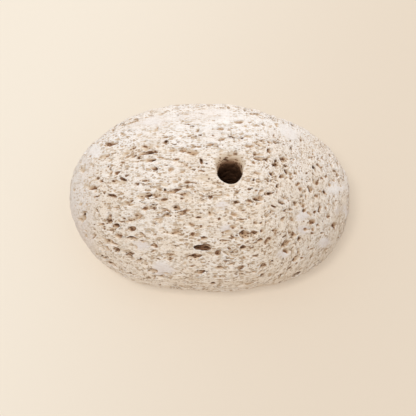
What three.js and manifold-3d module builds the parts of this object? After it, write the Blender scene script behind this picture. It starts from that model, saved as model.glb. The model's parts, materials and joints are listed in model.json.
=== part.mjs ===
// A natural pumice stone for skin care: one tumbled, egg-shaped lump of volcanic foam with a cord hole
// drilled down through its middle. It is a single piece, lying on a small face worn flat underneath.
// Millimetres, +Z up, +X along the stone. The origin is at the bottom centre of its bounding box.
import * as THREE from "three";
import { mergeVertices } from "three/addons/utils/BufferGeometryUtils.js";
import Module from "manifold-3d";

// Driving dimensions.
const LENGTH = 95; // along X
const WIDTH = 67; // along Y
const CROWN = 21; // from the widest level up to the top of the dome
const BELLY = 19.3; // from the widest level down to where the underside would close
const WORN_OFF = 2.3; // taken off the belly by wear, which leaves the face that it lies on
const HOLE_DIAMETER = 8.4;
const HOLE_X = 6.4; // the drill went in a little off the middle, to the right and the front
const HOLE_Y = -2.3;

// The roundness of the form: 2 is an ellipsoid, more is boxier.
const PLAN_EXPONENT = 2.12;
const CROWN_EXPONENT = 2.2;
const BELLY_EXPONENT = 2.8; // the stone is flatter underneath than on top
const SKEW = 0.036;
const BLUNT_END = 0.014;
const DROOPING_END = 0.055;

// The broad, low faces that tumbling left, as waves over the form. The heights are parts of its radius.
const LOW_WAVES = [
  { height: 0.006, x: 3.4, y: 2.9, z: 0, phase: 0.5 },
  { height: 0.006, x: 3.4, y: -2.9, z: 0, phase: 1.7 },
  { height: 0.009, x: 0, y: 5.2, z: 2.3, phase: 0.4 },
  { height: 0.007, x: 6.1, y: 0, z: -3.7, phase: 3.5 },
];
const SPHERE_DETAIL = 16; // the sphere that is shaped has 20 x (detail + 1)^2 triangles

// The worn mouths of the hole. The upper one has crumbled mostly towards +Y.
const MOUTH_SPREAD = 1.1; // how far the rim flares out all round
const MOUTH_DEPTH = 2.2;
const CRUMBLED_RADIUS = 4.6; // the scoop that widens the upper mouth
const CRUMBLED_SHIFT = 2.9; // of the scoop from the hole's axis, towards +Y
const CRUMBLED_DEPTH = 3.4;
const ROUND_SEGMENTS = 32;
const MOUTH_STEPS = 4;
const PAST_THE_STONE = 10; // how far each cutter runs out of the stone
const PROBE_WIDTH = 0.2; // of the rod that finds the stone's top

const STONE_COLOUR = 0xe8ddcd;

const wasm = await Module();
wasm.setup();

// A closed three.js geometry as a solid that can be joined or cut.
function solidOf(geometry) {
  geometry.deleteAttribute("normal");
  geometry.deleteAttribute("uv");
  const merged = mergeVertices(geometry, 1e-4);
  const vertProperties = merged.attributes.position.array;
  const triVerts = new Uint32Array(merged.index.array);
  return new wasm.Manifold(new wasm.Mesh({ numProp: 3, vertProperties, triVerts }));
}

// A solid back as a three.js geometry.
function geometryOf(solid) {
  const mesh = solid.getMesh();
  const geometry = new THREE.BufferGeometry();
  geometry.setAttribute("position", new THREE.BufferAttribute(mesh.vertProperties, 3));
  geometry.setIndex(new THREE.BufferAttribute(mesh.triVerts, 1));
  geometry.computeVertexNormals();
  return geometry;
}

// How far the surface lies out or in from the plain rounded form, as a factor, in the direction d.
// The stone is fullest at back left and front right, its +X end is blunt, and its -X end droops to the front.
function unevenness(d) {
  let factor = 1;
  factor -= SKEW * d.x * d.y;
  factor += BLUNT_END * Math.max(0, d.x) ** 3;
  factor += DROOPING_END * d.y * Math.min(0, d.x) ** 5;
  for (const { height, x, y, z, phase } of LOW_WAVES) {
    factor += height * Math.sin(x * d.x + y * d.y + z * d.z + phase);
  }
  return factor;
}

// The whole lump, before wear and drilling: a sphere drawn out to the rounded form.
function lump() {
  const geometry = new THREE.IcosahedronGeometry(1, SPHERE_DETAIL);
  const position = geometry.attributes.position;
  const d = new THREE.Vector3();
  for (let i = 0; i < position.count; i++) {
    d.fromBufferAttribute(position, i).normalize();
    const plan = Math.abs(d.x) ** PLAN_EXPONENT + Math.abs(d.y) ** PLAN_EXPONENT;
    const exponent = d.z > 0 ? CROWN_EXPONENT : BELLY_EXPONENT;
    const side = plan ** (exponent / PLAN_EXPONENT) + Math.abs(d.z) ** exponent;
    const reach = side ** (-1 / exponent) * unevenness(d);
    const height = d.z > 0 ? CROWN : BELLY;
    position.setXYZ(i, (LENGTH / 2) * d.x * reach, (WIDTH / 2) * d.y * reach, height * d.z * reach);
  }
  return solidOf(geometry);
}

// A block that takes away everything under the worn face.
function wearBlock() {
  const block = new THREE.BoxGeometry(2 * LENGTH, 2 * WIDTH, PAST_THE_STONE + WORN_OFF);
  block.translate(0, 0, -BELLY + WORN_OFF - (PAST_THE_STONE + WORN_OFF) / 2);
  return solidOf(block);
}

// A turned cutter about the hole's axis. Its outline is a list of [radius, height] from the bottom up.
function turned(outline) {
  const profile = outline.map(([radius, height]) => new THREE.Vector2(radius, height));
  const cutter = new THREE.LatheGeometry(profile, ROUND_SEGMENTS);
  cutter.rotateX(Math.PI / 2); // the lathe turns about Y, and the hole stands along Z
  cutter.translate(HOLE_X, HOLE_Y, 0);
  return solidOf(cutter);
}

// The worn stone as it lies, with the origin at the bottom centre of its box.
function lyingStone() {
  const stone = lump().subtract(wearBlock());
  const { min, max } = stone.boundingBox();
  return stone.translate(-(min[0] + max[0]) / 2, -(min[1] + max[1]) / 2, -min[2]);
}

// The height of the stone's top over a point of the plan.
function topHeight(stone, x, y) {
  const probe = new THREE.BoxGeometry(PROBE_WIDTH, PROBE_WIDTH, 4 * (CROWN + BELLY));
  return stone.intersect(solidOf(probe.translate(x, y, 0))).boundingBox().max[2];
}

// The flare of one mouth: a quarter of an ellipse from the bore's wall out to the stone's surface.
function mouthOutline(level, sign) {
  const radius = HOLE_DIAMETER / 2;
  const points = [];
  for (let step = 0; step <= MOUTH_STEPS; step++) {
    const turn = (step / MOUTH_STEPS) * (Math.PI / 2);
    const out = radius + MOUTH_SPREAD * (1 - Math.cos(turn));
    points.push([out, level - sign * MOUTH_DEPTH * (1 - Math.sin(turn))]);
  }
  points.push([radius + MOUTH_SPREAD, level + sign * PAST_THE_STONE]);
  points.push([0, level + sign * PAST_THE_STONE]);
  return points;
}

// The drilled hole with both of its worn mouths, from the resting face up to the top.
function holeCutter(top) {
  const lower = mouthOutline(0, -1).reverse();
  const upper = mouthOutline(top, 1);
  return turned([...lower, ...upper]);
}

// The scoop that the upper mouth has crumbled to, on its +Y side.
function crumbledCutter(top) {
  const scoop = new THREE.SphereGeometry(1, ROUND_SEGMENTS, ROUND_SEGMENTS / 2);
  scoop.rotateX(Math.PI / 2);
  scoop.scale(CRUMBLED_RADIUS, CRUMBLED_RADIUS, CRUMBLED_DEPTH);
  scoop.translate(HOLE_X, HOLE_Y + CRUMBLED_SHIFT, top);
  return solidOf(scoop);
}

function drilledStone() {
  const stone = lyingStone();
  const top = topHeight(stone, HOLE_X, HOLE_Y);
  return stone.subtract(holeCutter(top)).subtract(crumbledCutter(top));
}

const stone = new THREE.Mesh(
  geometryOf(drilledStone()),
  new THREE.MeshStandardMaterial({ color: STONE_COLOUR, roughness: 0.95, metalness: 0 }),
);
stone.name = "pumice_stone";

const part = new THREE.Group();
part.add(stone);

export default part;
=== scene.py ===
"""A natural pumice stone, lying on a plain pale floor in soft studio light.

Pumice is volcanic foam. Its gas bubbles were drawn out along one direction while the lava still flowed, so
this stone is streaked along X, and its pores are slots where they are cut lengthwise and round where they
are cut across. The CAD solid gives the smooth form. Here that form becomes a signed distance field on a
grid of voxels (negative inside the stone), which is roughened, drilled and carved pore by pore, and then
turned into one mesh. Each vertex keeps how deep it lies under the smooth form, and the material colours it
from that: darker the deeper, partly as the pores' own tint and partly as painted shade. Lengths are in
millimetres until the mesh is made, and everything in Blender is in metres.
"""
import json
import math

import bmesh
import bpy
import numpy as np
import openvdb
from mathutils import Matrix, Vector


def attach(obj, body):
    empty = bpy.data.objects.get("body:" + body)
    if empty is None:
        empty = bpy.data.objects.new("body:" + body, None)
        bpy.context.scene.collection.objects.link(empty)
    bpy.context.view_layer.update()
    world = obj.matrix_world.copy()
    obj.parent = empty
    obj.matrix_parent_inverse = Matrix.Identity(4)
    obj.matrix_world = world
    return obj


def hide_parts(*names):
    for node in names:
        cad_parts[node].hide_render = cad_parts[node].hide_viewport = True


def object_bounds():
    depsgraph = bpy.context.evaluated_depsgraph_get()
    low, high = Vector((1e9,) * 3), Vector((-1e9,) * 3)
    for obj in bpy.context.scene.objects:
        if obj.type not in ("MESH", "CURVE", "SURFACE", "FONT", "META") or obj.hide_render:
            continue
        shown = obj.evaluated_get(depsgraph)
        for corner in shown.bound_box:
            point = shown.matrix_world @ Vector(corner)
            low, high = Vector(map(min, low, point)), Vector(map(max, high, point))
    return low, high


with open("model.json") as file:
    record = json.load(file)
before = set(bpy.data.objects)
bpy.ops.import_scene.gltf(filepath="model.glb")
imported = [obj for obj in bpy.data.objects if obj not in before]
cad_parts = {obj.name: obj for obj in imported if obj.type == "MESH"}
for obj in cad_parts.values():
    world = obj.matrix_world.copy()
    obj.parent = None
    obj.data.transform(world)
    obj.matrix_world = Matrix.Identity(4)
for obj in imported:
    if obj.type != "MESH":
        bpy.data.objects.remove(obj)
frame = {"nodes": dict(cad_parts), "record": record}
cad_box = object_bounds()

MM = 0.001
NODE = "pumice_stone"
SEED = 7

# The grid.
VOXEL = 0.25
MARGIN = 2.0  # empty space around the stone
BAND = 4.0  # how far from the skin the distances are known
SKIN_BLUR = 1.2  # rounds off the facets of the CAD solid
HOLLOW_BLUR = 0.9  # the stone around a vertex, blurred this far, tells how closed in it is
TIGHT_BLUR = 0.4  # the same, more closely
TRIANGLES = 198000  # of the finished mesh

# The uneven surface of tumbled foam: the height of each set of waves, and the size of its humps.
ROUGHNESS = (
    (0.14, (9, 7, 7)),
    (0.08, (3.2, 1.8, 1.8)),
    (0.08, (3.0, 0.8, 0.8)),
)

# The shape of a pore: the powers of its rounding along its length, width and depth, and the waves that
# make it uneven, as for the surface.
PORE_POWERS = (1.7, 2.2, 2.2)
PORE_WARP = (
    (0.22, (2.6, 1.6, 1.6)),
    (0.09, (1.3, 0.8, 0.8)),
)

# The drilled hole.
OPENING = frame["record"]["physics"]["openings"][0]["box_m"]
HOLE_X = (OPENING[0][0] + OPENING[1][0]) / 2 / MM
HOLE_Y = (OPENING[0][1] + OPENING[1][1]) / 2 / MM
HOLE_RADIUS = 4.2
HOLE_RIDGES = 0.10  # the height of the ridges that the foam's layers leave on its wall
RIDGE_SIZE = (2.5, 2.5, 0.9)
RIM_WEAR = 0.2  # how round the rims of the hole are worn
RIM_CRUMBLED = 6.0  # the same towards +Y, where the upper rim has crumbled away
CRUMBLED_FROM = 19.0  # the height at which the crumbling starts
CRUMBLED_RISE = 8.0  # how much higher it is at its full
AROUND_HOLE = 8.0  # no wide pore is scattered nearer than this to the axis at the upper mouth

# The flow of the lava: streaks run level along X, and rise steeply through the stone's right end.
RISE_SLOPE = 1.25
RISE_START = 19.0  # the x about which they turn upwards
RISE_WIDTH = 3.5  # how gently they turn

# The camera looks down on the stone from the front. The places below are given as it sees them: millimetres
# across and up from the middle of the stone, on a plane that faces the camera.
CAMERA_ELEVATION = math.radians(62)
CAMERA_DISTANCE = 0.47  # in metres, from the middle of the stone
ACROSS = np.array([1.0, 0.0, 0.0])
UP = np.array([0.0, math.sin(CAMERA_ELEVATION), math.cos(CAMERA_ELEVATION)])
TO_CAMERA = np.array([0.0, -math.cos(CAMERA_ELEVATION), math.sin(CAMERA_ELEVATION)])
MIDDLE = (cad_box[0][2] + cad_box[1][2]) / 2 / MM  # the height of the middle of the stone
SIGHT = 40.0  # how far before and behind that middle the camera's rays are followed
LEAST_FACING = 0.4  # the cosine from which on a surface counts as turned towards the camera

# Smooth places with few pores: across, up and half height.
SMOOTH_PLACES = (
    (-15.3, -24.9, 2.0),
    (5.8, -11.7, 1.7),
    (4.1, -4.1, 1.0),
    (-21.7, -17.1, 1.3),
    (23.4, -19.8, 1.3),
    (30.9, -7.6, 1.7),
    (30.5, -12.0, 1.4),
    (37.3, -16.4, 1.5),
    (43.7, -5.9, 1.8),
    (43.1, 1.6, 2.0),
    (27.1, 20.2, 2.8),
    (-29.8, 22.9, 2.6),
    (-20.3, 23.6, 2.2),
    (-41.0, 14.4, 2.4),
    (5.0, 28.0, 2.8),
)
SMOOTH_STRETCH = 1.5  # their width over their height

# The back of the top and the stone's left end are nearly as smooth: how smooth they get, where that starts
# (up for the back, and minus x for the end) and how far on it is at its full.
WORN = 0.65
WORN_BACK = (13, 14)
WORN_END = (35, 7)

# The pores that stand out: across, up, length, width, depth, and turn from level in degrees. They don't go
# straight in, but lean: LEAN is how far they go to that side for each millimetre in.
PORES_LEAN_TO = 0.9 * UP - 0.44 * ACROSS
LEAN = 0.7
STANDING_OUT = (
    # upper left
    (-10.5, 26.7, 2.7, 1.0, 0.5, -6),
    (-9.8, 24.1, 4.0, 1.0, 0.4, 4),
    (-24.2, 19.8, 2.9, 1.3, 0.9, 0),
    (-33.6, 16.7, 2.0, 1.5, 0.7, 0),
    (-25.9, 15.9, 1.8, 1.1, 0.8, -10),
    (-15.1, 17.5, 1.2, 0.9, 1.0, 0),
    (-17.3, 15.7, 1.2, 0.9, 1.1, 0),
    (-4.2, 21.0, 1.4, 1.0, 0.5, 0),
    (-7.1, 19.4, 1.7, 0.8, 0.6, -8),
    (-3.2, 19.5, 1.4, 0.7, 0.6, 0),
    (-8.8, 14.4, 2.0, 1.4, 1.0, -15),
    (-6.8, 13.9, 5.4, 1.3, 0.6, -16),
    (-4.6, 13.1, 1.4, 0.9, 1.2, 0),
    (-20.5, 13.3, 1.7, 0.9, 1.2, -10),
    (-20.3, 11.0, 5.0, 1.5, 0.8, -3),
    (-11.4, 11.3, 2.2, 1.2, 1.3, 0),
    (-15.9, 11.8, 3.0, 1.0, 0.6, -18),
    (-3.1, 10.6, 1.1, 1.1, 1.7, 0),
    (-3.4, 11.8, 5.0, 1.2, 0.6, 14),
    (-18.3, 8.1, 2.4, 1.2, 0.9, -5),
    (-13.4, 7.6, 2.0, 1.1, 0.8, 12),
    (-7.8, 9.2, 1.1, 0.8, 1.0, 0),
    (-9.2, 7.0, 2.6, 1.5, 0.6, 30),
    (-43.1, 8.7, 2.3, 1.9, 0.6, 30),
    (-42.2, 3.3, 2.1, 2.1, 0.5, 0),
    (-33.7, 7.0, 1.4, 1.1, 0.5, 80),
    (-32.0, 6.6, 3.4, 1.0, 0.4, -8),
    (-29.0, 4.9, 3.1, 1.2, 0.8, -10),
    (-37.1, 4.1, 2.4, 0.9, 1.1, -14),
    (-25.1, 2.9, 4.2, 1.7, 0.4, -8),
    (-10.5, 4.4, 1.7, 0.9, 0.8, -5),
    (-7.5, 3.6, 2.0, 1.1, 1.0, 15),
    (-2.4, 3.8, 2.4, 1.0, 0.7, -12),
    (-14.9, 1.3, 1.1, 0.9, 1.8, 0),
    (-12.2, 0.7, 5.6, 1.5, 0.9, 5),
    (-28.1, 1.3, 1.4, 0.6, 0.8, 0),
    (-27.1, 0.2, 3.4, 1.1, 0.8, 4),
    (-23.1, -1.2, 4.4, 2.2, 0.8, -12),
    (-33.1, -0.9, 3.4, 1.4, 1.3, -18),
    (-18.0, -1.1, 1.1, 0.7, 0.9, 0),
    (-15.3, -2.3, 3.1, 1.7, 1.3, 4),
    (-9.0, -2.5, 3.1, 1.5, 0.8, 10),
    # upper right
    (0.0, 16.6, 2.8, 0.8, 0.7, -3),
    (3.9, 21.6, 2.6, 1.3, 0.7, 0),
    (6.8, 21.4, 1.6, 0.8, 0.4, 0),
    (9.8, 23.8, 4.2, 1.0, 0.8, -4),
    (12.2, 22.7, 1.5, 1.1, 1.0, -20),
    (15.3, 22.7, 3.0, 0.9, 0.5, -10),
    (17.0, 21.2, 3.0, 0.9, 0.4, -6),
    (20.5, 22.6, 1.8, 1.1, 0.6, -15),
    (3.4, 18.1, 3.0, 0.9, 0.8, 8),
    (6.8, 19.0, 3.8, 0.9, 0.7, -10),
    (8.3, 18.5, 1.0, 0.7, 0.9, 0),
    (11.2, 18.2, 1.4, 0.6, 0.5, 0),
    (13.2, 15.8, 3.8, 1.6, 0.7, 0),
    (17.1, 17.5, 1.8, 0.9, 0.9, -6),
    (22.2, 17.2, 2.0, 1.4, 0.8, -10),
    (3.7, 14.6, 2.5, 1.0, 0.5, -8),
    (8.8, 13.6, 2.5, 0.9, 1.0, 0),
    (20.0, 14.1, 2.0, 0.7, 0.8, 0),
    (17.6, 11.6, 0.9, 0.8, 0.9, 0),
    (21.9, 11.1, 1.1, 1.0, 1.5, 0),
    (14.9, 10.1, 1.9, 1.6, 1.1, 30),
    (12.9, 7.7, 1.0, 0.7, 0.6, 0),
    (-0.2, 5.1, 1.4, 1.0, 1.1, -15),
    (-2.7, -0.8, 1.8, 0.8, 0.8, 0),
    (3.9, 1.9, 1.7, 1.0, 0.9, -8),
    (-1.7, 0.5, 2.2, 0.8, 0.8, -8),
    (0.7, 1.2, 1.1, 0.7, 0.6, 0),
    (0.2, -1.6, 1.7, 1.0, 1.2, 8),
    (6.4, -0.5, 1.4, 1.0, 0.8, 0),
    (8.8, -0.3, 2.3, 1.4, 0.9, 8),
    (4.4, -0.7, 0.9, 0.7, 1.0, 0),
    (13.2, 0.9, 1.7, 1.2, 0.7, 20),
    (12.4, -1.5, 1.8, 1.1, 0.7, 0),
    (20.0, -0.5, 1.8, 1.3, 1.7, 30),
    (17.6, -1.6, 1.5, 1.1, 1.5, 20),
    (19.8, 4.1, 1.1, 0.8, 1.3, 0),
    (21.5, 5.4, 0.8, 0.7, 0.8, 0),
    (24.9, 5.8, 2.8, 1.3, 0.8, 14),
    (26.8, 7.1, 1.4, 1.1, 0.9, -20),
    (29.2, 6.9, 1.1, 1.0, 0.8, 0),
    (27.3, 4.9, 1.7, 0.9, 0.7, 0),
    (30.0, 2.7, 1.4, 1.0, 0.6, 0),
    (36.1, 7.7, 1.1, 1.1, 1.5, 0),
    (37.1, 9.0, 1.1, 1.0, 1.0, 0),
    (35.9, 4.1, 2.3, 2.3, 1.0, 0),
    (34.1, 1.4, 2.1, 2.0, 0.6, 0),
    (33.9, 12.4, 2.4, 1.3, 0.5, -25),
    (33.4, 14.3, 2.4, 1.2, 0.4, 0),
    (35.6, 15.1, 1.6, 1.2, 0.5, 80),
    (40.7, 10.8, 1.1, 1.0, 0.8, 0),
    (38.0, 12.1, 1.1, 0.9, 0.5, 0),
    (42.7, 7.3, 1.1, 1.1, 1.0, 0),
    (39.8, 5.6, 1.0, 1.0, 0.8, 0),
    (37.8, 4.4, 1.6, 1.0, 0.6, 80),
    (41.4, 4.6, 2.0, 1.0, 0.6, 80),
    (41.0, 2.9, 1.7, 1.4, 0.4, 80),
    (39.0, 0.0, 1.4, 1.1, 1.2, 10),
    (37.5, 0.4, 0.9, 0.9, 1.0, 0),
    (36.4, -1.3, 1.7, 1.1, 0.8, 20),
    (31.2, -1.2, 1.0, 0.9, 0.9, 0),
    (32.7, -1.2, 1.3, 1.0, 0.7, 80),
    (25.4, -1.7, 2.3, 1.3, 0.7, 0),
    (26.1, 11.6, 0.9, 0.9, 0.6, 0),
    (31.4, 14.3, 1.3, 0.9, 0.5, 80),
    (28.8, 16.5, 1.1, 1.0, 0.4, 0),
    # lower left
    (-44.6, -4.0, 2.0, 1.4, 0.6, 0),
    (-42.0, -4.5, 2.0, 0.7, 0.5, -10),
    (-42.5, -7.3, 3.0, 1.0, 0.9, 0),
    (-43.3, -8.9, 4.0, 2.6, 0.8, 0),
    (-42.8, -8.0, 4.4, 4.0, 0.5, 0),
    (-34.7, -9.5, 4.0, 1.7, 0.8, -12),
    (-32.5, -10.5, 1.8, 1.0, 0.5, -30),
    (-31.3, -5.9, 4.0, 1.4, 0.3, -5),
    (-32.8, -3.0, 3.0, 0.7, 0.5, 0),
    (-27.4, -2.7, 2.0, 0.6, 0.8, 0),
    (-22.0, -5.6, 2.2, 1.4, 1.0, 15),
    (-19.7, -5.2, 5.0, 2.1, 0.5, 8),
    (-25.6, -8.8, 5.6, 2.1, 0.9, 5),
    (-29.0, -9.1, 0.9, 0.7, 1.3, 0),
    (-11.5, -5.1, 3.1, 0.9, 0.8, -10),
    (-8.5, -6.4, 3.4, 1.2, 1.2, 5),
    (-4.1, -8.7, 2.1, 1.0, 1.5, 0),
    (-15.6, -6.2, 2.7, 1.4, 0.3, 0),
    (-15.8, -8.8, 3.0, 0.8, 0.8, 0),
    (-8.8, -9.3, 2.8, 1.0, 0.7, 10),
    (-3.4, -4.5, 1.4, 1.0, 0.6, 0),
    (-0.3, -6.7, 1.6, 1.3, 0.8, 80),
    (0.0, -10.0, 1.5, 0.8, 1.0, 0),
    (-27.5, -12.8, 3.0, 0.6, 0.8, -10),
    (-22.7, -14.2, 2.8, 1.6, 1.3, -22),
    (-26.1, -15.6, 3.8, 1.3, 1.5, -5),
    (-31.9, -15.4, 4.4, 0.6, 0.7, -8),
    (-12.0, -13.7, 5.4, 1.8, 1.1, 2),
    (-13.2, -15.3, 3.2, 1.3, 0.6, 8),
    (-5.3, -14.7, 2.4, 1.5, 1.4, 0),
    (-6.8, -13.7, 1.1, 0.8, 1.0, 0),
    (-1.7, -15.7, 3.0, 1.1, 1.0, -5),
    (-12.0, -17.3, 2.8, 1.0, 0.8, 6),
    (-18.3, -18.3, 2.7, 1.4, 0.7, -8),
    (-11.9, -18.8, 4.4, 0.7, 1.0, -5),
    (-3.7, -18.4, 1.4, 0.9, 1.2, 0),
    (-2.2, -19.4, 2.4, 0.9, 1.4, -5),
    (-32.5, -17.4, 3.8, 1.0, 0.9, -14),
    (-36.4, -17.6, 1.1, 0.8, 1.1, 0),
    (-37.1, -18.3, 3.0, 0.8, 0.5, -15),
    (-35.1, -18.6, 1.4, 1.0, 0.6, -20),
    (-42.0, -14.9, 1.4, 1.1, 0.6, -20),
    (-27.5, -20.5, 4.4, 1.6, 0.9, -12),
    (-27.3, -22.2, 3.8, 1.3, 2.2, -14),
    (-23.8, -23.1, 3.4, 1.2, 2.2, 6),
    (-20.2, -23.9, 2.0, 1.1, 0.6, -15),
    (-13.9, -21.2, 5.0, 1.1, 0.8, -12),
    (-18.6, -20.1, 2.7, 0.9, 0.6, 0),
    (-5.2, -22.0, 2.6, 1.7, 1.7, -15),
    (-9.2, -24.5, 3.4, 0.7, 0.7, 5),
    (-5.4, -25.2, 3.4, 0.8, 0.7, 6),
    (-32.5, -24.5, 2.0, 1.3, 0.6, -25),
    (-25.8, -27.9, 4.0, 1.1, 0.6, -8),
    (-14.7, -27.9, 3.0, 0.8, 0.7, -3),
    (-3.4, -27.4, 8.0, 1.6, 0.5, -2),
    (-8.6, -30.4, 1.4, 0.7, 0.9, 0),
    (-6.1, -30.4, 1.4, 0.7, 0.7, 0),
    (-20.7, -28.8, 2.0, 0.7, 0.6, 0),
    (-18.6, -28.8, 1.0, 0.8, 0.6, 0),
    (-34.7, -22.2, 1.4, 1.0, 0.6, -15),
    (-36.3, -22.0, 1.4, 0.8, 0.6, -15),
    # lower right
    (8.8, -3.2, 3.0, 1.5, 0.8, 0),
    (13.2, -3.4, 2.6, 1.1, 1.3, 0),
    (15.3, -3.2, 2.0, 0.9, 0.4, 0),
    (10.2, -5.1, 2.3, 0.9, 0.8, 0),
    (0.5, -6.7, 2.7, 1.2, 0.5, -5),
    (3.6, -8.7, 1.1, 0.9, 1.5, 0),
    (11.0, -9.2, 3.0, 1.0, 1.3, 0),
    (11.2, -9.1, 6.0, 0.5, 0.6, 2),
    (21.5, -9.5, 1.5, 0.8, 1.2, 40),
    (22.2, -8.7, 1.0, 0.6, 0.8, 20),
    (25.1, -9.3, 2.1, 1.2, 1.1, 30),
    (21.7, -4.8, 1.7, 0.9, 1.3, -20),
    (25.6, -6.1, 1.6, 1.1, 1.1, 0),
    (27.3, -5.6, 2.4, 1.3, 0.5, 15),
    (24.1, -3.5, 1.3, 0.9, 1.0, 20),
    (37.5, -4.9, 2.4, 1.4, 0.9, 0),
    (37.8, -6.1, 1.3, 0.9, 0.7, 0),
    (33.9, -7.1, 1.3, 1.0, 0.9, 80),
    (35.6, -5.9, 1.1, 1.1, 0.8, 0),
    (34.4, -9.7, 2.6, 2.6, 0.9, 0),
    (33.8, -9.6, 1.6, 1.2, 1.2, 80),
    (36.8, -11.0, 1.7, 0.9, 1.3, 15),
    (38.3, -13.5, 1.4, 0.8, 1.3, 0),
    (40.3, -3.4, 2.0, 1.0, 0.7, 80),
    (40.3, -6.9, 1.7, 1.0, 0.7, 80),
    (41.9, -4.9, 1.6, 1.0, 0.5, 80),
    (42.2, -11.0, 3.2, 1.7, 0.8, 75),
    (43.6, -15.1, 2.2, 1.0, 0.7, 55),
    (45.1, -10.3, 1.7, 0.8, 0.4, 85),
    (14.9, -14.0, 4.1, 1.4, 1.2, 4),
    (11.0, -12.5, 1.0, 0.8, 0.9, 0),
    (11.2, -13.7, 1.2, 0.8, 1.0, 0),
    (11.4, -14.7, 1.2, 0.8, 0.9, 0),
    (17.3, -16.6, 2.1, 1.4, 1.5, 15),
    (11.9, -10.8, 1.5, 0.8, 0.9, 0),
    (28.5, -14.0, 2.4, 1.2, 1.1, -5),
    (28.1, -15.2, 1.7, 0.8, 0.8, 0),
    (25.6, -17.1, 4.2, 3.4, 0.8, 0),
    (25.1, -18.0, 2.4, 1.2, 1.2, -8),
    (28.5, -17.8, 2.3, 1.1, 0.8, 5),
    (32.5, -12.7, 1.4, 1.0, 0.8, 0),
    (34.2, -13.0, 1.2, 0.9, 0.7, -20),
    (34.9, -14.2, 1.1, 1.0, 0.8, 0),
    (22.4, -13.9, 1.4, 1.0, 0.8, 80),
    (6.8, -14.7, 2.2, 0.9, 0.4, -8),
    (0.3, -13.7, 1.1, 0.8, 0.9, 0),
    (4.9, -16.4, 3.0, 0.8, 1.1, -5),
    (8.8, -15.9, 1.4, 0.8, 0.9, 0),
    (11.2, -18.8, 2.3, 1.4, 1.9, 20),
    (14.2, -18.9, 2.5, 0.8, 1.1, 0),
    (2.9, -20.8, 2.4, 1.4, 1.5, 8),
    (9.2, -21.2, 1.6, 1.0, 0.6, 0),
    (11.5, -22.3, 1.5, 0.9, 0.9, 0),
    (15.8, -22.0, 2.7, 0.9, 0.8, 5),
    (19.3, -22.9, 2.0, 0.8, 0.6, 0),
    (18.6, -25.0, 2.1, 1.1, 1.1, 0),
    (7.3, -24.2, 3.0, 0.9, 0.8, 0),
    (3.9, -25.9, 3.0, 0.8, 0.8, 0),
    (10.5, -25.6, 2.8, 1.8, 0.6, 15),
    (15.3, -26.9, 1.5, 1.0, 1.2, 20),
    (20.0, -27.8, 4.0, 1.3, 0.7, 8),
    (21.9, -26.9, 2.0, 0.8, 0.6, 0),
    (24.2, -28.2, 1.7, 1.0, 0.9, 0),
    (29.3, -22.2, 2.2, 1.2, 0.9, 15),
    (31.2, -22.2, 2.0, 1.0, 0.8, 0),
    (34.6, -19.3, 1.5, 1.0, 0.8, 15),
    (30.2, -19.5, 1.8, 1.1, 0.5, 15),
    (34.9, -21.8, 2.0, 1.3, 0.5, 20),
    (36.6, -23.2, 2.1, 1.3, 0.5, 25),
    (29.2, -24.4, 1.3, 1.0, 0.6, 80),
    (5.8, -22.7, 3.0, 0.7, 0.7, 0),
    (5.1, -28.6, 3.4, 0.8, 0.9, -10),
    (11.2, -28.1, 1.7, 0.8, 0.7, 0),
    (1.4, -31.0, 2.0, 1.6, 0.9, 0),
    (-0.3, -33.5, 4.0, 1.0, 0.7, 0),
    (7.1, -31.5, 4.0, 0.7, 0.4, 0),
    (17.6, -27.9, 1.7, 1.0, 0.6, 0),
    (25.3, -20.5, 1.7, 0.8, 0.6, 5),
    (27.5, -21.2, 1.7, 1.0, 0.5, 30),
    (21.7, -17.9, 1.0, 1.0, 0.8, 0),
    (20.3, -16.2, 1.7, 1.0, 0.7, 0),
    (12.4, -16.7, 1.5, 0.8, 0.6, 0),
    (15.3, -17.4, 3.0, 0.7, 0.6, 0),
)

# The pores that are scattered at random, from large to small. Their widths follow a power law: many are
# near the least width, and few near the greatest. Stretch is length over width, and sink is how deep the
# middle lies, as a share of half the width. The first kind are the last traces of pores worn away. The next
# two kinds are left out where the camera sees the skin, because the pores that stand out take their place.
TRACES = (-0.90, -0.55)
OPEN = (-0.45, 0.45)
SCATTERED = (
    {"count": 1250, "width": (1.3, 2.4), "stretch": (1.6, 3.4), "sink": TRACES, "everywhere": True},
    {"count": 380, "width": (1.3, 2.8), "stretch": (1.2, 2.8), "sink": OPEN, "everywhere": False},
    {"count": 1500, "width": (0.70, 1.3), "stretch": (1.6, 3.6), "sink": OPEN, "everywhere": False},
    {"count": 2200, "width": (0.55, 0.80), "stretch": (2.0, 4.0), "sink": OPEN, "everywhere": True},
    {"count": 3600, "width": (0.50, 0.80), "stretch": (1.2, 2.4), "sink": OPEN, "everywhere": True},
)
WIDTH_POWER = 2.6  # the greater it is, the more of the pores are small
ROUND_FROM = 18.0  # beyond this x the scattered pores are cut across, and get rounder
ROUND_WIDTH = 16.0  # how much further on they are at their roundest
ROUND_SHARE = 0.75  # how much of the stretch they have lost there
TURN_SPREAD = 0.10  # how much they turn at random from the streaks
KEPT_WHOLE = (0.35, 1.5)  # no scattered pore starts this deep, in the walls of larger ones
WIDE = 1.0  # the least width of the pores that keep clear of the upper mouth


def unit(v):
    return v / np.linalg.norm(v)


def smooth_step(t):
    t = np.clip(t, 0.0, 1.0)
    return t * t * (3.0 - 2.0 * t)


def rise_of_fabric(x):
    """How far the streaks have risen at x, in millimetres."""
    return RISE_SLOPE * RISE_WIDTH * np.logaddexp(0.0, (x - RISE_START) / RISE_WIDTH)


def fabric_direction(x):
    """The unit direction of the streaks at x."""
    slope = RISE_SLOPE / (1.0 + math.exp(-(x - RISE_START) / RISE_WIDTH))
    return unit(np.array([1.0, 0.0, slope]))


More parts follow.
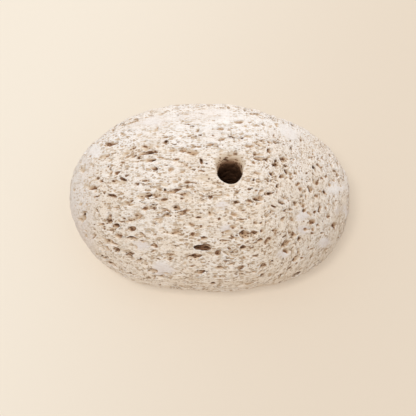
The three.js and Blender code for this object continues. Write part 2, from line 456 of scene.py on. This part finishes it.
class Grid:
    """A box of voxels round the stone. A field is an array of one number for each voxel."""

    def __init__(self, low, high):
        self.low = np.floor((low - MARGIN) / VOXEL).astype(int)
        self.shape = tuple(np.ceil((high + MARGIN) / VOXEL).astype(int) - self.low + 1)
        lines = [VOXEL * (self.low[i] + np.arange(self.shape[i])) for i in range(3)]
        self.x = lines[0].astype(np.float32)[:, None, None]
        self.y = lines[1].astype(np.float32)[None, :, None]
        self.z = lines[2].astype(np.float32)[None, None, :]

    def points(self, voxels):
        """The places of voxels, given as rows of three indices."""
        return (voxels + self.low) * VOXEL

    def sample(self, field, points):
        """The field's values at points, blended from the eight voxels around each."""
        cell = points / VOXEL - self.low
        first = np.clip(np.floor(cell).astype(int), 0, np.array(self.shape) - 2)
        part = (cell - first).astype(np.float32)
        total = np.zeros(len(points), np.float32)
        for corner in np.ndindex(2, 2, 2):
            weight = np.prod(np.where(corner, part, 1.0 - part), axis=1)
            i, j, k = (first + corner).T
            total += weight * field[i, j, k]
        return total

    def slope(self, field, points):
        """The unit directions in which the field grows fastest at points, which is out of the stone."""
        steps = np.eye(3) * VOXEL
        rise = [self.sample(field, points + s) - self.sample(field, points - s) for s in steps]
        rise = np.stack(rise, axis=1)
        return rise / np.maximum(np.linalg.norm(rise, axis=1, keepdims=True), 1e-6)

    def waves(self, rng, size):
        """Smooth random waves of spread 1, in humps of size = (x, y, z) that follow the streaks."""
        humps = [max(4, round(n * VOXEL / s)) for n, s in zip(self.shape, size)]
        field = rng.uniform(-1.0, 1.0, humps).astype(np.float32)
        for axis in range(3):
            field = stretch_out(field, axis, self.shape[axis])
        field = np.ascontiguousarray(field)
        for i, steps in enumerate(rise_of_fabric(self.x.ravel()) / VOXEL):
            whole = int(math.floor(steps))
            here = np.roll(field[i], whole, axis=1)
            field[i] = here + (steps - whole) * (np.roll(here, 1, axis=1) - here)
        return field / field.std()


def stretch_out(field, axis, count):
    """The field's rows along one axis, taken as a ring, spread over count places by a cubic spline."""
    rows = np.moveaxis(field, axis, 0)
    place = np.arange(count) * (len(rows) / count)
    first = np.floor(place).astype(int)
    t = (place - first).astype(np.float32)[:, None, None]
    parts = ((1 - t) ** 3, 3 * t**3 - 6 * t**2 + 4, 1 + 3 * t * (1 + t * (1 - t)), t**3)
    total = sum(part / 6 * rows[(first + step) % len(rows)] for step, part in enumerate(parts))
    return np.moveaxis(total, 0, axis)


def blur(field, spread):
    """A Gaussian blur of the field, spread in millimetres."""
    reach = int(math.ceil(2.5 * spread / VOXEL))
    kernel = np.exp(-0.5 * (np.arange(-reach, reach + 1) * VOXEL / spread) ** 2)
    kernel /= kernel.sum()
    for axis in range(3):
        pad = [(0, 0)] * 3
        pad[axis] = (reach, reach)
        padded = np.pad(field, pad, mode="edge")
        total = np.zeros_like(field)
        for step, weight in enumerate(kernel):
            part = [slice(None)] * 3
            part[axis] = slice(step, step + field.shape[axis])
            total += np.float32(weight) * padded[tuple(part)]
        field = total
    return field


def hull_of(node):
    """The convex hull of the CAD solid, which closes the drilled hole, as points and triangles."""
    bm = bmesh.new()
    bm.from_mesh(node.data)
    hull = bmesh.ops.convex_hull(bm, input=bm.verts)
    unused = [g for g in hull["geom_interior"] if isinstance(g, bmesh.types.BMVert)]
    bmesh.ops.delete(bm, geom=unused, context="VERTS")
    bm.verts.ensure_lookup_table()
    bmesh.ops.triangulate(bm, faces=bm.faces)
    points = np.array([v.co for v in bm.verts], np.float32) / MM
    triangles = np.array([[v.index for v in f.verts] for f in bm.faces], np.uint32)
    bm.free()
    return points, triangles


def distance_to_skin(grid, points, triangles):
    """The signed distance to the smooth form, with its facets blurred away."""
    step = openvdb.createLinearTransform(voxelSize=VOXEL)
    volume = openvdb.FloatGrid.createLevelSetFromPolygons(
        points, triangles=triangles, transform=step, halfWidth=BAND / VOXEL
    )
    field = np.zeros(grid.shape, np.float32)
    volume.copyToArray(field, ijk=tuple(int(i) for i in grid.low))
    return blur(field, SKIN_BLUR)


def smooth_places(grid, rng):
    """1 in the smooth places and 0 elsewhere, with soft uneven borders. Out of sight they are random."""
    ragged = 0.25 * grid.waves(rng, (3.5, 2.5, 2.5))
    height = grid.z - MIDDLE
    up = UP[1] * grid.y + UP[2] * height
    seen = TO_CAMERA[1] * grid.y + TO_CAMERA[2] * height > 0
    mask = smooth_step(1.4 * grid.waves(rng, (12, 9, 9)) - 2.2 + ragged) * ~seen
    for toward, (start, rise) in ((up, WORN_BACK), (-grid.x, WORN_END)):
        mask = np.maximum(mask, WORN * smooth_step((toward - start) / rise) * seen)
    for place_across, place_up, half_height in SMOOTH_PLACES:
        away = np.hypot((grid.x - place_across) / SMOOTH_STRETCH, up - place_up) / half_height
        mask = np.maximum(mask, smooth_step(1.4 * (1.35 - away + ragged)) * seen)
    return mask


def roughen(grid, skin, rng):
    """The smooth form with broad dents, small ones, and streaks."""
    field = skin
    for height, size in ROUGHNESS:
        field = field + height * grid.waves(rng, size)
    return field


def join_cuts(field, cut, softness):
    """The field less a cut (positive inside the cut), with a rim rounded by softness."""
    mix = np.clip(0.5 + 0.5 * (cut - field) / softness, 0.0, 1.0)
    return field + mix * (cut - field) + softness * mix * (1.0 - mix)


def drill(grid, field, rng):
    """Drills the cord hole. Its wall is ridged by the foam's layers, and its rims are worn."""
    ridges = HOLE_RIDGES * grid.waves(rng, RIDGE_SIZE)
    y = grid.y - HOLE_Y
    away = np.hypot(grid.x - HOLE_X, y)
    cut = HOLE_RADIUS - away + ridges
    towards_back = smooth_step((y / np.maximum(away, 1e-3) + 0.1) / 1.1)
    crumbled = towards_back * smooth_step((grid.z - CRUMBLED_FROM) / CRUMBLED_RISE)
    softness = RIM_WEAR + (RIM_CRUMBLED - RIM_WEAR) * crumbled
    return join_cuts(field, cut, softness.astype(np.float32)).astype(np.float32)


class Foam:
    """The field that pores are carved from, with the warp that makes them uneven."""

    def __init__(self, grid, field, rng):
        self.grid = grid
        self.field = field
        self.warp = [sum(height * grid.waves(rng, size) for height, size in PORE_WARP) for _ in range(3)]

    def carve(self, centre, axes, radii):
        """Takes out an ellipsoid with rather pointed ends along its first axis."""
        grid = self.grid
        reach = np.sqrt(((axes * radii[:, None]) ** 2).sum(0)) + 1.0
        low = np.floor((centre - reach) / VOXEL).astype(int) - grid.low
        high = np.ceil((centre + reach) / VOXEL).astype(int) - grid.low + 1
        low = np.maximum(low, 0)
        high = np.minimum(high, grid.shape)
        if np.any(high <= low):
            return
        part = tuple(slice(a, b) for a, b in zip(low, high))
        dx = grid.x[part[0]] - np.float32(centre[0]) + self.warp[0][part]
        dy = grid.y[:, part[1]] - np.float32(centre[1]) + self.warp[1][part]
        dz = grid.z[:, :, part[2]] - np.float32(centre[2]) + self.warp[2][part]
        total = 0.0
        for axis, radius, power in zip(axes.astype(np.float32), radii, PORE_POWERS):
            away = np.abs(dx * axis[0] + dy * axis[1] + dz * axis[2]) / np.float32(radius)
            total = total + away**power
        inside = (1.0 - np.sqrt(total)) * np.float32(radii.min())
        np.maximum(self.field[part], inside, out=self.field[part])


def carve_standing_out(foam, skin):
    """Carves the pores that stand out, so that the camera sees each at its place and size."""
    for across, up, length, width, depth, turn in STANDING_OUT:
        place = seen_at(foam.grid, skin, across, up)
        if place is None:
            continue
        out = foam.grid.slope(skin, place[None])[0]
        angle = math.radians(turn)
        along, length = laid_on(out, math.cos(angle) * ACROSS + math.sin(angle) * UP, length)
        width = laid_on(out, math.cos(angle) * UP - math.sin(angle) * ACROSS, width)[1]
        inward = unit(LEAN * laid_on(out, PORES_LEAN_TO, 1.0)[0] - out)
        side = unit(np.cross(along, inward))
        axes = np.stack([np.cross(inward, side), side, inward])
        foam.carve(place, axes, np.array([length / 2, width / 2, depth]))


def laid_on(out, direction, length):
    """A direction and length that the camera sees, laid down on a surface that faces out."""
    facing = max(out.dot(TO_CAMERA), LEAST_FACING)
    laid = direction - TO_CAMERA * direction.dot(out) / facing
    size = np.linalg.norm(laid)
    return laid / size, length * size


def seen_at(grid, skin, across, up):
    """The point of the smooth form that the camera sees at a place, or None past its outline."""
    middle = np.array([0.0, 0.0, MIDDLE])
    eye = middle + TO_CAMERA * CAMERA_DISTANCE / MM
    ray = unit(middle + across * ACROSS + up * UP - eye)
    reach = np.arange(-SIGHT, SIGHT, VOXEL) + CAMERA_DISTANCE / MM
    level = grid.sample(skin, eye + reach[:, None] * ray)
    inside = np.nonzero(level < 0)[0]
    if len(inside) == 0:
        return None
    i = inside[0]
    return eye + ray * (reach[i] - VOXEL * level[i] / (level[i] - level[i - 1]))


def carve_scattered(foam, skin, smooth, rng):
    """Carves the random pores, wherever the stone has a surface: skin, hole and underside."""
    grid = foam.grid
    for kind in SCATTERED:
        voxels = np.argwhere(np.abs(foam.field) < VOXEL / 2)
        places = grid.points(voxels[rng.integers(len(voxels), size=kind["count"])])
        outs = grid.slope(foam.field, places)
        smoothness = grid.sample(smooth, places)
        depths = -grid.sample(skin, places)
        for place, out, flat, depth in zip(places, outs, smoothness, depths):
            width = random_width(rng, *kind["width"])
            stretch = rng.uniform(*kind["stretch"])
            sink = rng.uniform(*kind["sink"])
            turn = rng.normal(0.0, TURN_SPREAD, 3)
            side = rng.normal(0.0, 1.0, 3)
            lot = rng.uniform()
            seen = out.dot(TO_CAMERA) > LEAST_FACING and depth < 1.0
            worn_off = 1.2 * flat > lot + 0.20
            taken = seen and not kind["everywhere"]
            if worn_off or taken or KEPT_WHOLE[0] < depth < KEPT_WHOLE[1]:
                continue
            from_hole = math.hypot(place[0] - HOLE_X, place[1] - HOLE_Y)
            if width > WIDE and from_hole < AROUND_HOLE and place[2] > MIDDLE:
                continue
            roundness = ROUND_SHARE * smooth_step((place[0] - ROUND_FROM) / ROUND_WIDTH)
            stretch = 1 + (stretch - 1) * (1 - roundness)
            along = unit(fabric_direction(place[0]) + turn)
            side = unit(side - along * side.dot(along))
            axes = np.stack([along, side, np.cross(along, side)])
            radii = np.array([width * stretch, width, width * rng.uniform(0.8, 1.2)]) / 2
            foam.carve(place - out * sink * width / 2, axes, radii)


def random_width(rng, least, most):
    """A random width between least and most, which follows the power law."""
    a = least ** (1 - WIDTH_POWER)
    b = most ** (1 - WIDTH_POWER)
    return (a + rng.uniform() * (b - a)) ** (1 / (1 - WIDTH_POWER))


def quads_of(grid, field):
    """The surface of the field as points and quads, without the closed bubbles inside the stone."""
    volume = openvdb.FloatGrid(BAND)
    volume.copyFromArray(np.ascontiguousarray(field), ijk=tuple(int(i) for i in grid.low))
    volume.transform = openvdb.createLinearTransform(voxelSize=VOXEL)
    points, quads = volume.convertToQuads(isovalue=0)
    quads = quads.astype(np.int64)
    label = np.arange(len(points))
    edges = np.concatenate([quads[:, [0, 1]], quads[:, [1, 2]], quads[:, [2, 3]]])
    while True:
        least = np.minimum(label[edges[:, 0]], label[edges[:, 1]])
        linked = label.copy()
        np.minimum.at(linked, edges[:, 0], least)
        np.minimum.at(linked, edges[:, 1], least)
        np.minimum.at(linked, label[edges[:, 0]], least)
        np.minimum.at(linked, label[edges[:, 1]], least)
        linked = linked[linked]
        if np.array_equal(linked, label):
            break
        label = linked
    names, sizes = np.unique(label, return_counts=True)
    kept = label == names[np.argmax(sizes)]
    number = np.cumsum(kept) - 1
    return points[kept], number[quads[kept[quads[:, 0]]]]


def mesh_of(points, quads, name):
    """A Blender mesh, in metres, cut down to the wanted number of triangles."""
    mesh = bpy.data.meshes.new(name)
    mesh.vertices.add(len(points))
    mesh.vertices.foreach_set("co", (points * MM).astype(np.float32).ravel())
    mesh.loops.add(4 * len(quads))
    mesh.loops.foreach_set("vertex_index", quads.astype(np.int32).ravel())
    mesh.polygons.add(len(quads))
    mesh.polygons.foreach_set("loop_start", np.arange(0, 4 * len(quads), 4, dtype=np.int32))
    mesh.update(calc_edges=True)
    stone = bpy.data.objects.new(name, mesh)
    bpy.context.scene.collection.objects.link(stone)
    decimate = stone.modifiers.new("decimate", "DECIMATE")
    decimate.ratio = min(1.0, TRIANGLES / (2 * len(quads)))
    decimate.use_collapse_triangulate = True
    ready = stone.evaluated_get(bpy.context.evaluated_depsgraph_get())
    stone.data = bpy.data.meshes.new_from_object(ready)
    stone.modifiers.clear()
    bpy.data.meshes.remove(mesh)
    stone.data.name = name
    return stone


def keep_on_vertices(mesh, name, values):
    """Stores a number, or a vector, for each vertex of the mesh."""
    kind = "FLOAT" if values.ndim == 1 else "FLOAT_VECTOR"
    field = "value" if values.ndim == 1 else "vector"
    attribute = mesh.attributes.new(name, kind, "POINT")
    attribute.data.foreach_set(field, values.astype(np.float32).ravel())


def pumice_stone():
    """The stone as one mesh, with the values that its material reads."""
    rng = np.random.default_rng(SEED)
    points, triangles = hull_of(frame["nodes"][NODE])
    grid = Grid(points.min(0), points.max(0))
    skin = distance_to_skin(grid, points, triangles)
    smooth = smooth_places(grid, rng)
    field = drill(grid, roughen(grid, skin, rng), rng)
    foam = Foam(grid, field, rng)
    carve_standing_out(foam, skin)
    carve_scattered(foam, skin, smooth, rng)
    field = np.maximum(foam.field, -grid.z)
    stone = mesh_of(*quads_of(grid, field), "pumice")
    keep_values(stone.data, grid, field, skin, smooth)
    stone.data.shade_smooth()
    return stone


def keep_values(mesh, grid, field, skin, smooth):
    """Stores on each vertex its depth, how closed in and how smooth it is, and its place on the streaks."""
    co = np.zeros(3 * len(mesh.vertices), np.float32)
    mesh.vertices.foreach_get("co", co)
    co = co.reshape(-1, 3) / MM
    solid = np.clip(0.5 - field / VOXEL, 0, 1).astype(np.float32)
    keep_on_vertices(mesh, "depth", -grid.sample(skin, co))
    keep_on_vertices(mesh, "hollow", grid.sample(blur(solid, HOLLOW_BLUR), co))
    keep_on_vertices(mesh, "tight", grid.sample(blur(solid, TIGHT_BLUR), co))
    keep_on_vertices(mesh, "smooth", grid.sample(smooth, co))
    streaks = np.stack([co[:, 0], co[:, 1], co[:, 2] - rise_of_fabric(co[:, 0])], axis=1)
    keep_on_vertices(mesh, "streaks", streaks)


class Tree:
    """A short way to write the shader nodes of a material or of the world."""

    def __init__(self, owner):
        owner.use_nodes = True
        self.nodes = owner.node_tree.nodes
        self.links = owner.node_tree.links
        self.nodes.clear()

    def add(self, kind, inputs=(), **settings):
        node = self.nodes.new("ShaderNode" + kind)
        for name, value in settings.items():
            setattr(node, name, value)
        for name, value in dict(inputs).items():
            if isinstance(value, bpy.types.NodeSocket):
                self.links.new(value, node.inputs[name])
            else:
                node.inputs[name].default_value = value
        return node

    def read(self, name, output="Fac"):
        return self.add("Attribute", attribute_name=name).outputs[output]

    def range(self, value, low, high, to_low=0.0, to_high=1.0):
        node = self.add(
            "MapRange",
            {"Value": value, "From Min": low, "From Max": high, "To Min": to_low, "To Max": to_high},
            interpolation_type="SMOOTHSTEP",
        )
        return node.outputs["Result"]

    def math(self, operation, a, b):
        return self.add("Math", {0: a, 1: b}, operation=operation).outputs[0]

    def mix(self, factor, a, b):
        node = self.add("Mix", data_type="RGBA")
        for socket, value in zip((node.inputs[0], node.inputs[6], node.inputs[7]), (factor, a, b)):
            if isinstance(value, bpy.types.NodeSocket):
                self.links.new(value, socket)
            else:
                socket.default_value = value
        return node.outputs[2]

    def bubbles(self, vector, size):
        """1 in small bubbles, about one to each box of size = (x, y, z) millimetres, and 0 between them."""
        place = self.add("VectorMath", {0: vector, 1: [1 / s for s in size]}, operation="MULTIPLY")
        cells = self.add("TexVoronoi", {"Vector": place.outputs[0], "Scale": 1.0})
        chance = self.add("SeparateXYZ", {0: cells.outputs["Color"]}).outputs[0]
        radius = self.range(chance, 0.38, 1.0, 0.0, 0.60)
        inside = self.math("SUBTRACT", radius, cells.outputs["Distance"])
        return self.range(inside, 0.0, 0.12)

    def noise(self, vector, size, detail=2.0, roughness=0.5):
        """Noise in humps of size = (x, y, z) millimetres."""
        place = self.add("VectorMath", {0: vector, 1: [1 / s for s in size]}, operation="MULTIPLY")
        inputs = {"Vector": place.outputs[0], "Scale": 1.0, "Detail": detail, "Roughness": roughness}
        return self.add("TexNoise", inputs).outputs["Fac"]


CREAM = (0.895, 0.785, 0.670, 1)
PALE = (0.950, 0.910, 0.880, 1)
LAVENDER = (0.770, 0.700, 0.690, 1)
STRAW = (0.735, 0.605, 0.470, 1)
TAN = (0.590, 0.420, 0.280, 1)
# BROWN and DARK_BROWN darken the pores, partly as their own tint and partly as painted shade.
BROWN = (0.300, 0.165, 0.095, 1)
DARK_BROWN = (0.110, 0.055, 0.030, 1)
# Painted shade, nearly black, for the far end of the drilled hole.
HOLE_SHADE = (0.040, 0.016, 0.007, 1)


def pumice_material():
    material = bpy.data.materials.new("pumice")
    tree = Tree(material)
    streaks = tree.read("streaks", "Vector")
    depth = tree.read("depth")
    hollow = tree.read("hollow")
    tight = tree.read("tight")
    smooth = tree.read("smooth")
    back = tree.add("SeparateXYZ", {0: streaks}).outputs[1]

    broad = tree.noise(streaks, (14, 9, 9))
    patches = tree.noise(streaks, (6, 3, 3))
    fibres = tree.noise(streaks, (4.5, 0.42, 0.42), detail=3.0, roughness=0.7)
    grain = tree.noise(streaks, (0.75, 0.34, 0.34), detail=1.0)

    # Pores too fine for the mesh, long ones and short ones, of which the smooth places have few.
    long = tree.bubbles(streaks, (1.8, 0.66, 0.66))
    short = tree.bubbles(streaks, (0.9, 0.50, 0.50))
    fine = tree.math("MAXIMUM", long, short)
    fine = tree.math("MULTIPLY", fine, tree.math("SUBTRACT", 1.0, tree.math("MULTIPLY", smooth, 0.85)))
    fine = tree.math("MULTIPLY", fine, tree.range(patches, 0.35, 0.60, 0.40, 1.0))

    # The skin: cream, paler towards the back as painted light, and paler in places, with fine pale and
    # straw-coloured streaks, tan grains, and lavender-white smooth places.
    pale_places = tree.range(broad, 0.35, 0.65, -0.15, 0.35)
    # pale holds painted light, paler towards the back where the light falls on the top, and the stone's own
    # paler places at random.
    pale = tree.math("ADD", tree.range(back, -25, 26, 0.0, 0.75), pale_places)
    skin = tree.mix(pale, CREAM, PALE)
    skin = tree.mix(tree.range(fibres, 0.50, 0.66, 0.0, 0.60), skin, STRAW)
    skin = tree.mix(tree.range(fibres, 0.47, 0.34, 0.0, 0.55), skin, PALE)
    skin = tree.mix(tree.range(grain, 0.52, 0.68, 0.0, 0.55), skin, TAN)
    smooth_skin = tree.mix(pale, LAVENDER, PALE)
    skin = tree.mix(tree.math("MULTIPLY", smooth, 0.65), skin, smooth_skin)

    # The pores: straw, tan and brown the deeper they lie, and the more closed in they are, partly as their
    # own tint and partly as painted shade. The far end of the hole is darkest, as painted shade, and sharp
    # rims are pale, partly as wear and partly as a painted highlight.
    # Painted shade, partly the pores' own tint: the deeper and more closed in a place is, the browner it is
    # painted.
    pore_tint_and_painted_shade = tree.math("ADD", tree.math("MULTIPLY", depth, 0.52), tree.range(hollow, 0.54, 0.80, 0.0, 0.55))
    pore_tint_and_painted_shade = tree.math("ADD", pore_tint_and_painted_shade, tree.range(tight, 0.52, 0.74, 0.0, 0.45))
    pore_tint_and_painted_shade = tree.math("ADD", pore_tint_and_painted_shade, tree.range(fibres, 0.3, 0.7, -0.12, 0.12))
    # The pores too fine for the mesh get the same tint and painted shade.
    pore_tint_and_painted_shade = tree.math("ADD", pore_tint_and_painted_shade, tree.math("MULTIPLY", fine, 0.80))
    colour = tree.mix(tree.range(pore_tint_and_painted_shade, 0.12, 0.34), skin, STRAW)
    colour = tree.mix(tree.range(pore_tint_and_painted_shade, 0.34, 0.86), colour, TAN)
    colour = tree.mix(tree.range(pore_tint_and_painted_shade, 0.82, 1.30), colour, BROWN)
    colour = tree.mix(tree.range(pore_tint_and_painted_shade, 1.20, 2.00), colour, DARK_BROWN)
    # Painted shade: the far end of the hole is painted nearly black, with ragged edges from the fibres.
    deep = tree.math("ADD", depth, tree.range(fibres, 0.35, 0.65, -1.5, 1.5))
    colour = tree.mix(tree.range(deep, 1.5, 8.0), colour, HOLE_SHADE)
    # Sharp rims near the skin are painted paler, partly as wear and partly as a painted highlight.
    rims = tree.math("MULTIPLY", tree.range(tight, 0.42, 0.28, 0.0, 0.45), tree.range(depth, 0.5, 0.1))
    colour = tree.mix(rims, colour, PALE)

    height = tree.math("SUBTRACT", tree.math("MULTIPLY", fibres, -1.0), fine)
    bump = tree.add("Bump", {"Height": height, "Strength": 0.9, "Distance": 0.0004})
    shader = tree.add(
        "BsdfPrincipled",
        {"Base Color": colour, "Normal": bump.outputs[0], "Roughness": 0.95, "IOR": 1.15},
    )
    tree.add("OutputMaterial", {"Surface": shader.outputs[0]})
    return material


FLOOR_LIT = (0.860, 0.785, 0.675, 1)  # painted light: paler at the back left
FLOOR_SHADED = (0.750, 0.650, 0.533, 1)  # painted shade: darker at the front right
FLOOR_HALF = 3.0  # half the side of the sheet, in metres
GLOW = 0.28  # the share of its colour that the sheet gives as its own light, and doesn't reflect


def floor():
    """A plain pale sheet with a painted light falloff, darker towards the front right, that glows a little.
    """
    mesh = bpy.data.meshes.new("floor")
    corners = [(FLOOR_HALF * x, FLOOR_HALF * y, 0) for x, y in ((-1, -1), (1, -1), (1, 1), (-1, 1))]
    mesh.from_pydata(corners, [], [(0, 1, 2, 3)])
    sheet = bpy.data.objects.new("floor", mesh)
    bpy.context.scene.collection.objects.link(sheet)
    sheet.location.z = -0.02 * MM  # just under the stone, so that the two faces don't coincide
    material = bpy.data.materials.new("floor")
    tree = Tree(material)
    place = tree.add("TexCoord").outputs["Object"]
    parts = tree.add("SeparateXYZ", {0: place}).outputs
    # Painted light falloff: the colour runs from lit at the back left to shaded at the front right.
    slant = tree.math("SUBTRACT", parts[0], tree.math("MULTIPLY", parts[1], 0.3))
    colour = tree.mix(tree.range(slant, -0.11, 0.075), FLOOR_LIT, FLOOR_SHADED)
    reflected = tree.mix(1.0 - GLOW, (0, 0, 0, 1), colour)
    inputs = {"Base Color": reflected, "Emission Color": colour, "Emission Strength": GLOW}
    shader = tree.add("BsdfPrincipled", {**inputs, "Roughness": 0.8, "IOR": 1.2})
    tree.add("OutputMaterial", {"Surface": shader.outputs[0]})
    mesh.materials.append(material)
    return sheet


KEY_PLACE = Vector((-0.16, -0.36, 1.0))  # from the middle of the stone, in metres
FILL_PLACE = Vector((0.26, 0.85, 0.48))
SURROUND_LIGHT = (0.61, 0.601, 0.589, 1)  # as it lights the stone
SURROUND_SEEN = (0.90, 0.83, 0.73, 1)  # as it looks past the edge of the floor


def area_light(name, place, target, size, power, colour):
    """A round lamp of a size in metres and a power in watts, turned to its target."""
    light = bpy.data.lights.new(name, "AREA")
    light.shape = "DISK"
    light.size = size
    light.energy = power
    light.color = colour
    lamp = bpy.data.objects.new(name, light)
    lamp.location = place
    lamp.rotation_euler = (Vector(target) - Vector(place)).to_track_quat("-Z", "Y").to_euler()
    bpy.context.scene.collection.objects.link(lamp)
    return lamp


def studio(centre):
    """Soft light: a key from above the front left, a fill from behind that casts no shadow, and a surround
    that lights the stone from all round and looks as pale as the floor."""
    area_light("key", centre + KEY_PLACE, centre, 0.26, 4.1, (1.0, 0.98, 0.96))
    fill = area_light("fill", centre + FILL_PLACE, centre, 0.6, 4.2, (1.0, 0.98, 0.97))
    fill.data.use_shadow = False
    world = bpy.data.worlds.new("surround")
    tree = Tree(world)
    seen = tree.add("LightPath").outputs["Is Camera Ray"]
    colour = tree.mix(seen, SURROUND_LIGHT, SURROUND_SEEN)
    surround = tree.add("Background", {"Color": colour, "Strength": 1.0})
    tree.add("OutputWorld", {"Surface": surround.outputs[0]})
    bpy.context.scene.world = world
    bpy.context.scene.view_settings.view_transform = "Standard"


CAMERA_LENS = 120.07
STONE_ABOVE_MIDDLE = 0.00522  # of the picture, in metres at the stone
STONE_RIGHT_OF_MIDDLE = 0.00058


def camera(centre):
    """A long lens that looks down on the stone from the front."""
    scene = bpy.context.scene
    eye = bpy.data.objects.new("camera", bpy.data.cameras.new("camera"))
    scene.collection.objects.link(eye)
    eye.location = centre + CAMERA_DISTANCE * Vector(TO_CAMERA)
    target = centre - STONE_ABOVE_MIDDLE * Vector(UP) - STONE_RIGHT_OF_MIDDLE * Vector(ACROSS)
    eye.rotation_euler = (target - eye.location).to_track_quat("-Z", "Y").to_euler()
    eye.data.lens = CAMERA_LENS
    eye.data.clip_start = 0.01
    scene.camera = eye


centre = (Vector(cad_box[0]) + Vector(cad_box[1])) / 2
camera(centre)
studio(centre)
floor()

stone = pumice_stone()
stone.data.materials.clear()
stone.data.materials.append(pumice_material())
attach(stone, "root")
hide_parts(NODE)
